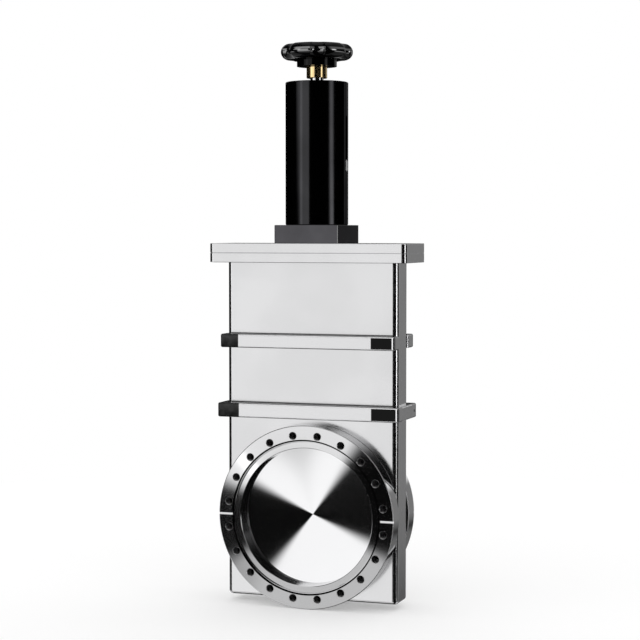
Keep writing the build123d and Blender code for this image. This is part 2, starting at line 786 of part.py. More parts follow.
# Travelling nut in the yoke
with BuildPart() as carriage_nut:
    with BuildSketch(level(yoke_top_z)):
        Circle(nut_body_d / 2)
    extrude(amount=-nut_body_length)
    with BuildSketch(level(yoke_top_z)):
        Rectangle(nut_flange_width, nut_flange_depth)
    extrude(amount=nut_flange_thickness)
    with BuildSketch(level(nut_top_z)):
        Circle(shaft_bore_r)
        with GridLocations(nut_screw_pitch, 0, 2, 1):
            Circle(m4_shank_d / 2 + screw_clearance)
    extrude(amount=-nut_body_length - nut_flange_thickness, mode=Mode.SUBTRACT)
carriage_nut.part.label = "carriage_nut"

nut_screw = cap_screw(
    m4_shank_d,
    m4_head_d,
    m4_head_height,
    m4_socket,
    nut_flange_thickness + nut_screw_bite - sliding_gap,
)
with BuildPart() as nut_screws:
    with Locations(level(nut_top_z)):
        with GridLocations(nut_screw_pitch, 0, 2, 1):
            add(nut_screw)
nut_screws.part.label = "nut_screws"

# Gate disc: turned flat on the front, with the seal's groove and the pockets behind
disc_front_y = front_wall_y + housing_wall + disc_gap
disc_rear_y = disc_front_y + disc_thickness
seal_circle_r = disc_r - seal_inset
seal_groove_depth = seal_section_d - seal_stand_out
ball_pocket_r = ball_d / 2 + seat_clearance
with BuildPart() as gate_disc:
    with BuildSketch(upright(disc_rear_y)):
        Circle(disc_r)
    extrude(amount=disc_thickness)
    chamfer(gate_disc.edges().filter_by(GeomType.CIRCLE), disc_edge_chamfer)
    with BuildSketch(upright(disc_front_y)):
        Circle(seal_circle_r + seal_section_d / 2 + seat_clearance)
        Circle(seal_circle_r - seal_section_d / 2 - seat_clearance, mode=Mode.SUBTRACT)
    extrude(amount=-seal_groove_depth - seat_clearance, mode=Mode.SUBTRACT)
    with BuildSketch(upright(disc_rear_y)):
        with GridLocations(drive_pin_pitch, 0, 2, 1):
            Circle(drive_pin_d / 2 + seat_clearance)
    extrude(amount=drive_pin_bite, mode=Mode.SUBTRACT)
    with Locations(upright(mid_y)):
        with GridLocations(ball_pitch, ball_pitch, 2, 2):
            Sphere(ball_pocket_r, mode=Mode.SUBTRACT)
gate_disc.part.label = "gate_disc"

# Gate seal: rubber ring standing out of the disc's face
with BuildPart() as gate_seal:
    with BuildSketch(Plane.XY):
        with Locations((seal_circle_r, disc_front_y - seal_stand_out + seal_section_d / 2)):
            Circle(seal_section_d / 2)
    revolve(axis=Axis.Y)
gate_seal.part.label = "gate_seal"

# Counter plate: the same disc facing the rear wall
with BuildPart() as counter_plate:
    mirror(gate_disc.part, about=upright(mid_y))
counter_plate.part.label = "counter_plate"

# Slide ring: square plastic ring in the counter plate's groove
slide_ring_face_y = 2 * mid_y - disc_front_y + seal_stand_out
with BuildPart() as slide_ring:
    with BuildSketch(upright(slide_ring_face_y)):
        Circle(seal_circle_r + seal_section_d / 2)
        Circle(seal_circle_r - seal_section_d / 2, mode=Mode.SUBTRACT)
    extrude(amount=seal_section_d)
    chamfer(slide_ring.faces().sort_by(Axis.Y)[-1].edges(), slide_ring_chamfer)
slide_ring.part.label = "slide_ring"

# Locking balls that spread the two discs
with BuildPart() as locking_balls:
    with Locations(upright(mid_y)):
        with GridLocations(ball_pitch, ball_pitch, 2, 2):
            Sphere(ball_d / 2)
locking_balls.part.label = "locking_balls"

# Drive pins that take both discs along with the carriage
drive_pin_length = carriage_thickness + 2 * (plate_gap + drive_pin_bite - seat_clearance)
with BuildPart() as drive_pins:
    with BuildSketch(upright(mid_y)):
        with GridLocations(drive_pin_pitch, 0, 2, 1):
            Circle(drive_pin_d / 2)
    extrude(amount=drive_pin_length / 2, both=True)
drive_pins.part.label = "drive_pins"

# Leaf springs: bent strips that pull the two discs together
leaf_half_span = carriage_thickness / 2 + plate_gap - leaf_thickness / 2
leaf_x = carriage_half_width + leaf_inset
leaf_profile = [
    (leaf_x + leaf_foot, mid_y - leaf_half_span),
    (leaf_x, mid_y - leaf_half_span),
    (leaf_x, mid_y + leaf_half_span),
    (leaf_x + leaf_foot, mid_y + leaf_half_span),
]
with BuildPart() as leaf_springs:
    for spring_z in (-leaf_spread / 2, leaf_spread / 2):
        with BuildSketch(Plane.XY.offset(spring_z - leaf_width / 2)):
            with BuildLine():
                FilletPolyline(*leaf_profile, radius=leaf_bend_r)
            trace(line_width=leaf_thickness)
        extrude(amount=leaf_width)
    mirror(about=Plane.YZ)
leaf_springs.part.label = "leaf_springs"

# Roller pins across the lugs
with BuildPart() as roller_pins:
    with BuildSketch(upright(mid_y)):
        with GridLocations(2 * roller_x, roller_pitch, 2, 2):
            Circle(roller_pin_d / 2)
    extrude(amount=carriage_thickness / 2, both=True)
roller_pins.part.label = "roller_pins"


def guide_roller(x, z):
    """Small wheel on its pin, running along one rail."""
    with BuildPart() as roller:
        with BuildSketch(upright(mid_y)):
            with Locations((x, z)):
                Circle(roller_d / 2)
                Circle(roller_pin_d / 2 + running_clearance, mode=Mode.SUBTRACT)
        extrude(amount=roller_width / 2, both=True)
    return roller.part


guide_rollers = {}
for side_name, side in (("left", -1), ("right", 1)):
    for level_name, step in (("upper", 1), ("lower", -1)):
        roller_name = f"{level_name}_{side_name}_roller"
        guide_rollers[roller_name] = guide_roller(side * roller_x, step * roller_pitch / 2)
        guide_rollers[roller_name].label = roller_name

# Spindle: lead screw below, thrust shoulder in the block, indicator thread and neck above
indicator_thread_bottom_z = indicator_bottom_z - indicator_thread_margin
indicator_thread_top_z = indicator_top_z + indicator_travel + indicator_thread_margin
with BuildPart() as spindle:
    with BuildSketch(spindle_section):
        with BuildLine():
            Polyline(
                (0, screw_tip_z),
                (lead_screw_d / 2 - screw_tip_chamfer, screw_tip_z),
                (lead_screw_d / 2, screw_tip_z + screw_tip_chamfer),
                (lead_screw_d / 2, shoulder_bottom_z),
                (spindle_shoulder_d / 2, shoulder_bottom_z),
                (spindle_shoulder_d / 2, shoulder_top_z),
                (upper_shaft_d / 2, shoulder_top_z),
                (upper_shaft_d / 2, indicator_thread_bottom_z),
                (indicator_thread_d / 2, indicator_thread_bottom_z),
                (indicator_thread_d / 2, indicator_thread_top_z),
                (neck_d / 2, indicator_thread_top_z),
                (neck_d / 2, neck_top_z),
                (stub_d / 2, neck_top_z),
                (stub_d / 2, hub_top_z - seat_clearance),
                (0, hub_top_z - seat_clearance),
                close=True,
            )
        make_face()
    revolve(axis=spindle_axis)
    with BuildSketch(level(boss_bottom_z)):
        with Locations((0, stub_d - stub_flat_depth)):
            Rectangle(stub_d, stub_d)
    extrude(amount=hub_top_z - boss_bottom_z, mode=Mode.SUBTRACT)
    with BuildSketch(level(hub_top_z)):
        Circle(m4_shank_d / 2 + screw_clearance)
    extrude(amount=-hub_screw_bite, mode=Mode.SUBTRACT)
spindle.part.label = "spindle"

# Brass collar between the spindle's neck and the handwheel
with BuildPart() as brass_collar:
    with BuildSketch(level(neck_top_z)):
        Circle(collar_d / 2)
    extrude(amount=collar_length)
    chamfer(brass_collar.edges(), collar_edge_chamfer)
    with BuildSketch(level(neck_top_z)):
        Circle(stub_d / 2 + seat_clearance)
    extrude(amount=collar_length, mode=Mode.SUBTRACT)
brass_collar.part.label = "brass_collar"

# Handwheel: boss, full round rim with finger scallops, dished top with a flat hub
rim_r = handwheel_d / 2
rim_round = rim_height / 2
rim_mid_z = rim_bottom_z + rim_round
lobe_angle = radians(scallop_angle + 180 / scallop_count)
lobe_section = Plane(
    (0, mid_y, 0),
    x_dir=(cos(lobe_angle), sin(lobe_angle), 0),
    z_dir=(sin(lobe_angle), -cos(lobe_angle), 0),
)
with BuildPart() as handwheel:
    with BuildSketch(lobe_section):
        with BuildLine():
            Polyline(
                (0, hub_top_z),
                (0, boss_bottom_z),
                (handwheel_boss_d / 2, boss_bottom_z),
                (handwheel_boss_d / 2, rim_bottom_z),
                (rim_r - rim_round, rim_bottom_z),
            )
            ThreePointArc(
                (rim_r - rim_round, rim_bottom_z),
                (rim_r, rim_mid_z),
                (rim_r - rim_round, rim_top_z),
            )
            Line((rim_r - rim_round, rim_top_z), (rim_inner_d / 2, rim_top_z))
            Spline(
                (rim_inner_d / 2, rim_top_z),
                (dish_d / 2, hub_top_z),
                tangents=((-1, 0), (-1, 0)),
            )
            Line((dish_d / 2, hub_top_z), (0, hub_top_z))
        make_face()
    revolve(axis=spindle_axis)
    scallop_circle_r = rim_r - scallop_depth + scallop_r
    cutter_round = rim_round + scallop_overrun
    with BuildPart(mode=Mode.PRIVATE) as scallop:
        with BuildSketch(Plane.XZ):
            with BuildLine():
                Polyline(
                    (scallop_r + cutter_round, cutter_round),
                    (0, cutter_round),
                    (0, -cutter_round),
                    (scallop_r + cutter_round, -cutter_round),
                )
                ThreePointArc(
                    (scallop_r + cutter_round, -cutter_round),
                    (scallop_r, 0),
                    (scallop_r + cutter_round, cutter_round),
                )
            make_face()
        revolve(axis=Axis.Z)
    with Locations((0, mid_y, rim_mid_z)):
        with PolarLocations(scallop_circle_r, scallop_count, start_angle=scallop_angle):
            add(scallop.part, mode=Mode.SUBTRACT)
    crests = handwheel.edges().filter_by(
        lambda edge: Vector(edge @ 0.5 - Vector(0, mid_y, rim_mid_z)).length > rim_r - scallop_edge_r
    )
    fillet(crests, scallop_edge_r)
    with BuildSketch(level(boss_bottom_z)):
        Circle(stub_d / 2 + seat_clearance)
        with Locations((0, stub_d - stub_flat_depth + 2 * seat_clearance)):
            Rectangle(stub_d, stub_d, mode=Mode.SUBTRACT)
    extrude(amount=hub_top_z - boss_bottom_z, mode=Mode.SUBTRACT)
handwheel.part.label = "handwheel"

# Hub washer and screw on the handwheel
with BuildPart() as hub_washer:
    with BuildSketch(level(hub_top_z)):
        Circle(hub_washer_d / 2)
        Circle(m4_shank_d / 2 + screw_clearance, mode=Mode.SUBTRACT)
    extrude(amount=hub_washer_thickness)
hub_washer.part.label = "hub_washer"

with BuildPart() as hub_screw:
    with Locations(level(hub_top_z + hub_washer_thickness)):
        add(
            cap_screw(
                m4_shank_d,
                m4_head_d,
                m4_head_height,
                m4_socket,
                hub_washer_thickness + hub_screw_bite - sliding_gap,
            )
        )
hub_screw.part.label = "hub_screw"

# Indicator nut: rides the spindle's upper thread inside the tube
indicator_nut_r = tube_id / 2 - sliding_gap - seat_clearance
key_root_x = indicator_nut_r - indicator_key_bite
key_face_x = tube_od / 2 + indicator_key_stand_out
with BuildPart() as indicator_nut:
    with BuildSketch(level(indicator_bottom_z)):
        Circle(indicator_nut_r)
        Circle(indicator_thread_d / 2 + running_clearance, mode=Mode.SUBTRACT)
    extrude(amount=indicator_height)
    with BuildSketch(level(indicator_bottom_z)):
        with Locations((key_root_x + indicator_key_bite, 0)):
            Rectangle(2 * indicator_key_bite, indicator_key_width)
    extrude(amount=indicator_height, mode=Mode.SUBTRACT)
indicator_nut.part.label = "indicator_nut"

# Indicator key: bright flag in the tube's slot, which also keeps the nut from turning
key_root_plane = Plane((key_root_x, mid_y, 0), x_dir=(0, 1, 0), z_dir=(1, 0, 0))
with BuildPart() as indicator_key:
    with BuildSketch(key_root_plane):
        with Locations((0, indicator_mid_z)):
            SlotOverall(indicator_height, indicator_key_width - 2 * seat_clearance, rotation=90)
    extrude(amount=key_face_x - key_root_x)
indicator_key.part.label = "indicator_key"

os.makedirs("parts", exist_ok=True)
built_parts = [
    front_flange.part,
    rear_flange.part,
    gate_housing.part,
    upper_rib_front,
    upper_rib_rear.part,
    lower_rib_front,
    lower_rib_rear.part,
    lower_rib_left,
    lower_rib_right,
    housing_flange.part,
    bonnet_seal.part,
    bonnet_plate.part,
    bonnet_screws.part,
    seal_cartridge.part,
    shaft_seals.part,
    cartridge_seal.part,
    actuator_block.part,
    block_screws.part,
    lower_thrust_washer.part,
    upper_thrust_washer.part,
    bearing_retainer.part,
    retainer_screws.part,
    actuator_tube.part,
    tube_screws.part,
    tube_cap.part,
    cap_ring.part,
    upper_bush.part,
    guide_rail_left,
    guide_rail_right,
    carriage.part,
    carriage_nut.part,
    nut_screws.part,
    gate_disc.part,
    gate_seal.part,
    counter_plate.part,
    slide_ring.part,
    locking_balls.part,
    drive_pins.part,
    leaf_springs.part,
    roller_pins.part,
    spindle.part,
    brass_collar.part,
    handwheel.part,
    hub_washer.part,
    hub_screw.part,
    indicator_nut.part,
    indicator_key.part,
    *guide_rollers.values(),
]
for built_part in built_parts:
    export_step(built_part, f"parts/{built_part.label}.step")
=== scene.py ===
import json
import math

import bmesh
import bpy
from bpy.props import FloatProperty, FloatVectorProperty, IntProperty, PointerProperty
from mathutils import Matrix, Vector


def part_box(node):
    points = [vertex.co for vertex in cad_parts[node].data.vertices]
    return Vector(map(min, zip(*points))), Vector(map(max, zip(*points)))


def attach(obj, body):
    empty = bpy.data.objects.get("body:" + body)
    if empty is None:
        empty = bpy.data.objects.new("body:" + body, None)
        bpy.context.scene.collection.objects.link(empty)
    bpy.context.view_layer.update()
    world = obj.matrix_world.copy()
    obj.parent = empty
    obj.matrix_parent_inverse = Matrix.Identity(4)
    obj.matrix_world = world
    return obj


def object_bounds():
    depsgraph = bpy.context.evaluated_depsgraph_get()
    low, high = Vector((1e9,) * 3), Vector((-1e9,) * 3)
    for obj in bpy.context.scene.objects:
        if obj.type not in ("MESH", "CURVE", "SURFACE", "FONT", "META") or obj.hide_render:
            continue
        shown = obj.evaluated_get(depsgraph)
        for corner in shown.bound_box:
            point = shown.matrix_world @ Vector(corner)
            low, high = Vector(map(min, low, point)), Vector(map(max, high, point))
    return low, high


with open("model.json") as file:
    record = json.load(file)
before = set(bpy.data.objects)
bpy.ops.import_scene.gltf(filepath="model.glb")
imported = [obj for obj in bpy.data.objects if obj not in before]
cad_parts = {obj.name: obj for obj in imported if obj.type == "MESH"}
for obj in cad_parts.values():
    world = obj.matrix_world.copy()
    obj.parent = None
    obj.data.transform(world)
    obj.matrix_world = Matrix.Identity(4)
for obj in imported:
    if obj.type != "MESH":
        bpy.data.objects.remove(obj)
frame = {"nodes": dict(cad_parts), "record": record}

bl_info = {
    "name": "Vacuum gate valve",
    "version": (1, 0, 0),
    "blender": (4, 5, 0),
    "location": "3D View > Sidebar > Gate Valve",
    "description": "Finishes, screw threads and studio for a hand-operated vacuum gate valve",
    "category": "Object",
}

CAD_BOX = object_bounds()
NODES = frame["nodes"]
MOUNTS = {mount["name"]: mount for mount in frame["record"]["mounts"]}
MILLIMETRE = 0.001
STEEL_TINT = (0.99, 0.99, 1.0)
BRONZE = (0.62, 0.42, 0.24, 1.0)
# A face square to an axis has more than SQUARE of its normal along that axis, and a chamfer or a
# rounding has more than SLANTING of it
SQUARE = 0.97
SLANTING = 0.6
# Lines of the brushing: their scale, and how far they are drawn out
BRUSHED_SCALE = 2600.0
DRAWN_OUT = 0.02
# Painted shade: a dark line on the housing just above each rib, where the rib meets the wall: half
# its width, its soft edge and its brightness, then how far above the rib's top it lies
SHADE_LINE_HALF = 0.6 * MILLIMETRE
SHADE_LINE_EDGE = 0.2 * MILLIMETRE
SHADE_LINE_LEVEL = 0.1
SHADE_LINE_LIFT = 0.4 * MILLIMETRE
# Half the width of a leak groove, with a margin
GROOVE_HALF = 1.25 * MILLIMETRE
# Steps in one turn of a thread
THREAD_STEPS = 14
# Brightness of the ribs' painted highlight on their rounded edges and right corners, of their
# black ends and of the painted dark reflection along their left rounded edge, and of the darkest
# and the palest part of their dull ends
RIB_HIGHLIGHT = 0.92
RIB_BLACK = 0.009
RIB_EDGE_REFLECTION = 0.002
RIB_DULL = (0.006, 0.045)
# Scale of the tool's rings on turned faces, and the brightness of the painted shade in the gasket
# recess
RING_SCALE = 5000.0
RECESS_SHADE = 0.03
# The floor: its radius, its sides and how much it glows to the camera
FLOOR_R = 1.1
FLOOR_SIDES = 96
FLOOR_GLOW = 0.26


class Wire:
    """One value in a shader, with arithmetic that adds the Math nodes."""

    def __init__(self, finish, socket):
        self.finish = finish
        self.socket = socket

    def maths(self, operation, *values):
        return self.finish.maths(operation, *values)

    def output(self, name):
        return Wire(self.finish, self.socket.node.outputs[name])

    def __add__(self, other):
        return self.maths("ADD", self, other)

    def __radd__(self, other):
        return self.maths("ADD", other, self)

    def __sub__(self, other):
        return self.maths("SUBTRACT", self, other)

    def __rsub__(self, other):
        return self.maths("SUBTRACT", other, self)

    def __mul__(self, other):
        return self.maths("MULTIPLY", self, other)

    def __rmul__(self, other):
        return self.maths("MULTIPLY", other, self)

    def __truediv__(self, other):
        return self.maths("DIVIDE", self, other)

    def __pow__(self, other):
        return self.maths("POWER", self, other)

    def __abs__(self):
        return self.maths("ABSOLUTE", self)

    def __gt__(self, other):
        return self.maths("GREATER_THAN", self, other)

    def __lt__(self, other):
        return self.maths("LESS_THAN", self, other)

    def larger(self, other):
        return self.maths("MAXIMUM", self, other)

    def within(self, half, edge):
        """One where the value is closer to zero than half, with a soft edge to nothing."""
        return abs(self).ramp(half - edge, half + edge, 1.0, 0.0)

    def ramp(self, start, end, low=0.0, high=1.0):
        """Value that goes smoothly from low at start to high at end."""
        return self.finish.node(
            "ShaderNodeMapRange",
            {"interpolation_type": "SMOOTHSTEP"},
            {"Value": self, "From Min": start, "From Max": end, "To Min": low, "To Max": high},
        )


class NodeTree:
    """Adds nodes to a tree, so that each node is one call."""

    def __init__(self, tree):
        self.tree = tree

    def node(self, kind, settings=None, inputs=None):
        made = self.tree.nodes.new(kind)
        for name, value in (settings or {}).items():
            setattr(made, name, value)
        for name, value in (inputs or {}).items():
            if isinstance(value, Wire):
                self.tree.links.new(value.socket, made.inputs[name])
            else:
                made.inputs[name].default_value = value
        return Wire(self, made.outputs[0]) if made.outputs else made

    def maths(self, operation, *values):
        """Result of a Math node."""
        inputs = dict(enumerate(values))
        return self.node("ShaderNodeMath", {"operation": operation}, inputs)

    def angle(self, operation, *values):
        """Angle in degrees from an inverse function."""
        return self.maths(operation, *values) * math.degrees(1.0)

    def wrapped(self, angle):
        """Angle in degrees brought between -180 and 180."""
        return self.maths("WRAP", angle, 180.0, -180.0)

    def mix(self, share, first, second):
        """Colour between two colours, which are sockets 6 and 7 of the node, with result 2."""
        mixed = self.node(
            "ShaderNodeMix",
            {"data_type": "RGBA"},
            {0: share, 6: first, 7: second},
        )
        return Wire(self, mixed.socket.node.outputs[2])


class Finish(NodeTree):
    """A material in the making, which reads the object's own coordinates."""

    def __init__(self, name):
        self.material = bpy.data.materials.new(name)
        self.material.use_nodes = True
        super().__init__(self.material.node_tree)
        self.tree.nodes.clear()
        coordinates = self.node("ShaderNodeTexCoord")
        self.place = coordinates.output("Object")
        self.normal = coordinates.output("Normal")
        self.output = self.tree.nodes.new("ShaderNodeOutputMaterial")
        self.shader = self.node("ShaderNodeBsdfPrincipled")
        self.show(self.shader)

    def show(self, shader):
        self.tree.links.new(shader.socket, self.output.inputs["Surface"])

    def set(self, **values):
        """Sets the shader's sockets, with base_color written for Base Color."""
        for name, value in values.items():
            title = name.replace("_", " ").title().replace("Ior", "IOR")
            socket = self.shader.socket.node.inputs[title]
            if isinstance(value, Wire):
                self.tree.links.new(value.socket, socket)
            else:
                socket.default_value = value

    def xyz(self, wire):
        parts = self.node("ShaderNodeSeparateXYZ", None, {0: wire})
        return parts.output("X"), parts.output("Y"), parts.output("Z")

    def noise(self, scale, detail=2.0, stretch=(1.0, 1.0, 1.0), roughness=0.5):
        """Noise over the object, stretched where a scale is below one."""
        place = self.node("ShaderNodeMapping", None, {"Vector": self.place, "Scale": stretch})
        return self.node(
            "ShaderNodeTexNoise",
            None,
            {"Vector": place, "Scale": scale, "Detail": detail, "Roughness": roughness},
        )

    def bump(self, height, strength, distance):
        self.set(
            normal=self.node(
                "ShaderNodeBump",
                None,
                {"Height": height, "Strength": strength, "Distance": distance},
            )
        )


def grey(level, tint=(1.0, 1.0, 1.0)):
    return (level * tint[0], level * tint[1], level * tint[2], 1.0)


def satin_steel(name, settings, brushed="Z", shade_lines=()):
    """Fine satin steel: blasted grain, faint lines along one axis and a soft unevenness.

    A dark line of painted shade runs along its front and its back at each given height.
    """
    finish = Finish(name)
    along = tuple(DRAWN_OUT if axis == brushed else 1.0 for axis in "XYZ")
    lines = finish.noise(BRUSHED_SCALE, 3.0, along)
    grain = finish.noise(5200.0, 1.0)
    clouds = finish.noise(9.0, 3.0)
    colour = finish.mix(
        clouds.ramp(0.35, 0.65),
        grey(settings.satin_level - 0.03, STEEL_TINT),
        grey(settings.satin_level + 0.02, STEEL_TINT),
    )
    flat = abs(finish.xyz(finish.normal)[1]) > SQUARE
    for height in shade_lines:
        # painted shade: a dark line on the flat faces at this height
        shade_line = (finish.xyz(finish.place)[2] - height).within(SHADE_LINE_HALF, SHADE_LINE_EDGE)
        colour = finish.mix(shade_line * flat, colour, grey(SHADE_LINE_LEVEL))
    finish.set(
        base_color=colour,
        metallic=1.0,
        roughness=settings.satin_roughness + (lines - 0.5) * 0.05 + (clouds - 0.5) * 0.04,
    )
    finish.bump(lines * 0.6 + grain * 0.4, 0.02, 0.00001)
    return finish.material


def rib_steel(name, settings, rib):
    """Satin bar with black ends, painted highlights and a painted dark reflection on its rounded
    edges, and painted shade by the housing, on its tops, its roundings and its ends.
    """
    finish = Finish(name)
    low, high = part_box(rib)
    wall, middle = housing_wall()
    reach = max(abs(low.y - middle), abs(high.y - middle))
    x, y, z = finish.xyz(finish.place)
    out = abs(y - middle)
    along, across, up = (abs(part) for part in finish.xyz(finish.normal))
    corner, edge = settings.rib_corner, settings.rib_edge
    black = (across > SQUARE) * (out > reach - 0.5 * MILLIMETRE)
    black = black * (x > settings.rib_dark_right) * (x < high.x - corner)
    dull = (x < settings.rib_dark_left) * (along < SQUARE)
    # painted dark reflection along the rounded left edge
    edge_reflection = (x < low.x + edge * 0.7) * (along < SQUARE)
    # painted highlights: the right corner of the front faces and the rounded edges
    corner_highlight = (across > 0.8) * (x > high.x - corner)
    painted_highlight = ((across < SQUARE) * (across > SLANTING)).larger(corner_highlight)
    # painted shade: near the housing and towards the front on the top and bottom faces, on the
    # roundings that face more up, down or sideways than forward, and on the ends near the front
    painted_shade = (up > SQUARE) * out.ramp(wall, wall + 3.0 * MILLIMETRE, 0.9, 0.1).larger(
        out.ramp(reach - 7.0 * MILLIMETRE, reach - 3.0 * MILLIMETRE, 0.0, 0.6))
    painted_shade = painted_shade.larger((across < SLANTING) * (up < SQUARE) * (along < SQUARE) * 0.6)
    painted_shade = painted_shade.larger((along > SLANTING) * (out > reach - edge * 2.2) * 0.85)
    lines = finish.noise(BRUSHED_SCALE, 3.0, (DRAWN_OUT, 1.0, 1.0))
    cloudy = finish.noise(160.0, 2.0).ramp(0.35, 0.7)
    colour = finish.mix(painted_highlight, grey(settings.satin_level, STEEL_TINT), grey(RIB_HIGHLIGHT, STEEL_TINT))
    colour = finish.mix(painted_shade, colour, grey(0.0))
    colour = finish.mix(black, colour, grey(RIB_BLACK))
    # darker towards the bottom, with some random tone
    paler_upwards = z.ramp(low.z, high.z, 0.0, 0.7) + cloudy * 0.3
    darkest, palest = RIB_DULL
    colour = finish.mix(dull, colour, finish.mix(paler_upwards, grey(darkest), grey(palest)))
    colour = finish.mix(edge_reflection, colour, grey(RIB_EDGE_REFLECTION))
    finish.set(
        base_color=colour,
        metallic=1.0,
        roughness=settings.satin_roughness + (lines - 0.5) * 0.05 - black * 0.1,
    )
    finish.bump(lines, 0.02, 0.00001)
    return finish.material


def housing_wall():
    """Distance of the housing's front wall from its middle plane, and that plane's place."""
    low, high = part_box("gate_housing")
    return (high.y - low.y) / 2, (high.y + low.y) / 2


def turned_steel(name, settings, level, tilt):
    """Machined steel with its flat faces turned, and painted shade in the gasket recess.

    The walls of the tool's fine rings lean by tilt, outwards from the port's axis where it is
    above zero, so that the lights above and below spread into a fan round that axis.
    """
    finish = Finish(name)
    x, y, z = finish.xyz(finish.place)
    radius = (x * x + z * z) ** 0.5
    facing = abs(finish.xyz(finish.normal)[1])
    clouds = finish.noise(14.0, 2.0)
    rings = finish.node(
        "ShaderNodeTexNoise",
        {"noise_dimensions": "1D"},
        {"W": radius, "Scale": RING_SCALE, "Detail": 2.0},
    )
    # painted shade: the gasket recess between knife_r and recess_r is painted dark
    recess = (radius > settings.knife_r) * (radius < settings.recess_r)
    chamfers = radius > settings.recess_r + 0.5 * MILLIMETRE
    chamfers = chamfers * (facing < 0.9) * (facing > 0.5)
    finish.set(
        base_color=finish.mix(
            recess, grey(settings.machined_level, STEEL_TINT), grey(RECESS_SHADE)),
        metallic=1.0,
        roughness=settings.machined_roughness + (clouds - 0.5) * 0.06 + chamfers * 0.35,
    )
    machined = finish.shader
    groove_floor = (abs(z) < GROOVE_HALF) * (radius > settings.recess_r)
    groove_floor = groove_floor * (y > 0.4 * MILLIMETRE) * (y < 20.0 * MILLIMETRE)
    turned = (facing > 0.985) * (1.0 - groove_floor) * (1.0 - recess)
    lean = math.tan(tilt)
    outward = finish.node(
        "ShaderNodeCombineXYZ", None, {0: x / radius * lean, 2: z / radius * lean})
    leaning = finish.node(
        "ShaderNodeVectorMath", {"operation": "ADD"}, {0: finish.normal, 1: outward})
    leaning = finish.node(
        "ShaderNodeVectorTransform",
        {"vector_type": "NORMAL", "convert_from": "OBJECT", "convert_to": "WORLD"},
        {0: leaning},
    )
    finish.shader = finish.node("ShaderNodeBsdfPrincipled")
    finish.set(
        base_color=finish.mix(
            rings.ramp(0.3, 0.7),
            grey(level - 0.03, STEEL_TINT),
            grey(level + 0.02, STEEL_TINT),
        ),
        metallic=1.0,
        roughness=settings.turned_roughness + (clouds - 0.5) * 0.03,
        normal=finish.node("ShaderNodeVectorMath", {"operation": "NORMALIZE"}, {0: leaning}),
    )
    finish.show(finish.node(
        "ShaderNodeMixShader", None, {0: turned, 1: machined, 2: finish.shader}))
    return finish.material


def plain_metal(name, colour, roughness, grain=3000.0, metallic=1.0):
    """Machined metal with a fine grain and slight stains."""
    finish = Finish(name)
    marks = finish.noise(grain, 2.0)
    stains = finish.noise(60.0, 3.0)
    worn = tuple(channel * 0.88 for channel in colour[:3]) + (1.0,)
    finish.set(
        base_color=finish.mix(stains.ramp(0.35, 0.7), colour, worn),
        metallic=metallic,
        roughness=roughness + (marks - 0.5) * 0.12,
    )
    finish.bump(marks, 0.12, 0.00002)
    return finish.material


def anodised_black(name, settings, colour, chamfer_highlight=None):
    """Smooth black anodised aluminium with faint lines round the tube.

    Where a chamfer brightness is given, the upright chamfers are painted to that brightness, a
    painted highlight.
    """
    finish = Finish(name)
    lines = finish.noise(2200.0, 2.0, (0.05, 0.05, 1.0))
    stains = finish.noise(30.0, 3.0)
    paler = tuple(channel * 1.25 for channel in colour) + (1.0,)
    anodised = finish.mix(stains.ramp(0.3, 0.7), tuple(colour) + (1.0,), paler)
    if chamfer_highlight is not None:
        along, across = (abs(part) for part in finish.xyz(finish.normal)[:2])
        chamfers = (along > SLANTING) * (across > SLANTING)
        # painted highlight on the upright chamfers
        anodised = finish.mix(chamfers, anodised, grey(chamfer_highlight))
    finish.set(
        base_color=anodised,
        metallic=1.0,
        specular_tint=grey(settings.anodised_edge),
        roughness=settings.anodised_roughness + (lines - 0.5) * 0.06 + (stains - 0.5) * 0.05,
    )
    finish.bump(lines, 0.06, 0.00002)
    return finish.material


def glossy_black(name, settings):
    """Black moulding with a slight orange peel, polished by hands round the rim's middle."""
    finish = Finish(name)
    peel = finish.noise(420.0, 2.0)
    dust = finish.noise(1500.0, 2.0)
    rim_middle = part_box("handwheel")[1].z - settings.rim_height / 2
    above = finish.xyz(finish.place)[2] - rim_middle
    handled = above.within(settings.polished_half, 0.4 * MILLIMETRE)
    finish.set(
        base_color=tuple(settings.handwheel_colour) + (1.0,),
        roughness=0.06 + dust.ramp(0.55, 0.8) * 0.04,
        ior=1.25,
        coat_weight=handled,
        coat_roughness=0.05,
        coat_ior=2.6,
    )
    finish.bump(peel, 0.10, 0.0001)
    return finish.material


def rubber(name):
    finish = Finish(name)
    bloom = finish.noise(90.0, 3.0)
    finish.set(
        base_color=finish.mix(bloom.ramp(0.35, 0.7), grey(0.022), grey(0.04)),
        roughness=0.48 + (bloom - 0.5) * 0.15,
    )
    finish.bump(finish.noise(1800.0, 2.0), 0.15, 0.00003)
    return finish.material


def white_plastic(name):
    finish = Finish(name)
    mottle = finish.noise(120.0, 2.0)
    finish.set(
        base_color=finish.mix(mottle.ramp(0.3, 0.7), grey(0.84), grey(0.78, (1.0, 0.99, 0.96))),
        roughness=0.45 + (mottle - 0.5) * 0.1,
    )
    finish.bump(finish.noise(1500.0, 2.0), 0.1, 0.00003)
    return finish.material


def bolt_hole_black(name):
    """Dark steel of the tapped holes' threads, darker than the flange round them, with blotchy
    tone.
    """
    finish = Finish(name)
    blotches = finish.noise(500.0, 2.0)
    finish.set(
        base_color=finish.mix(blotches.ramp(0.3, 0.7), grey(0.10), grey(0.22)),
        metallic=1.0,
        roughness=0.32 + (blotches - 0.5) * 0.2,
    )
    return finish.material


def dress(material, *names):
    """Gives CAD nodes a better material in each of their slots."""
    for name in names:
        for slot in NODES[name].material_slots:
            slot.material = material


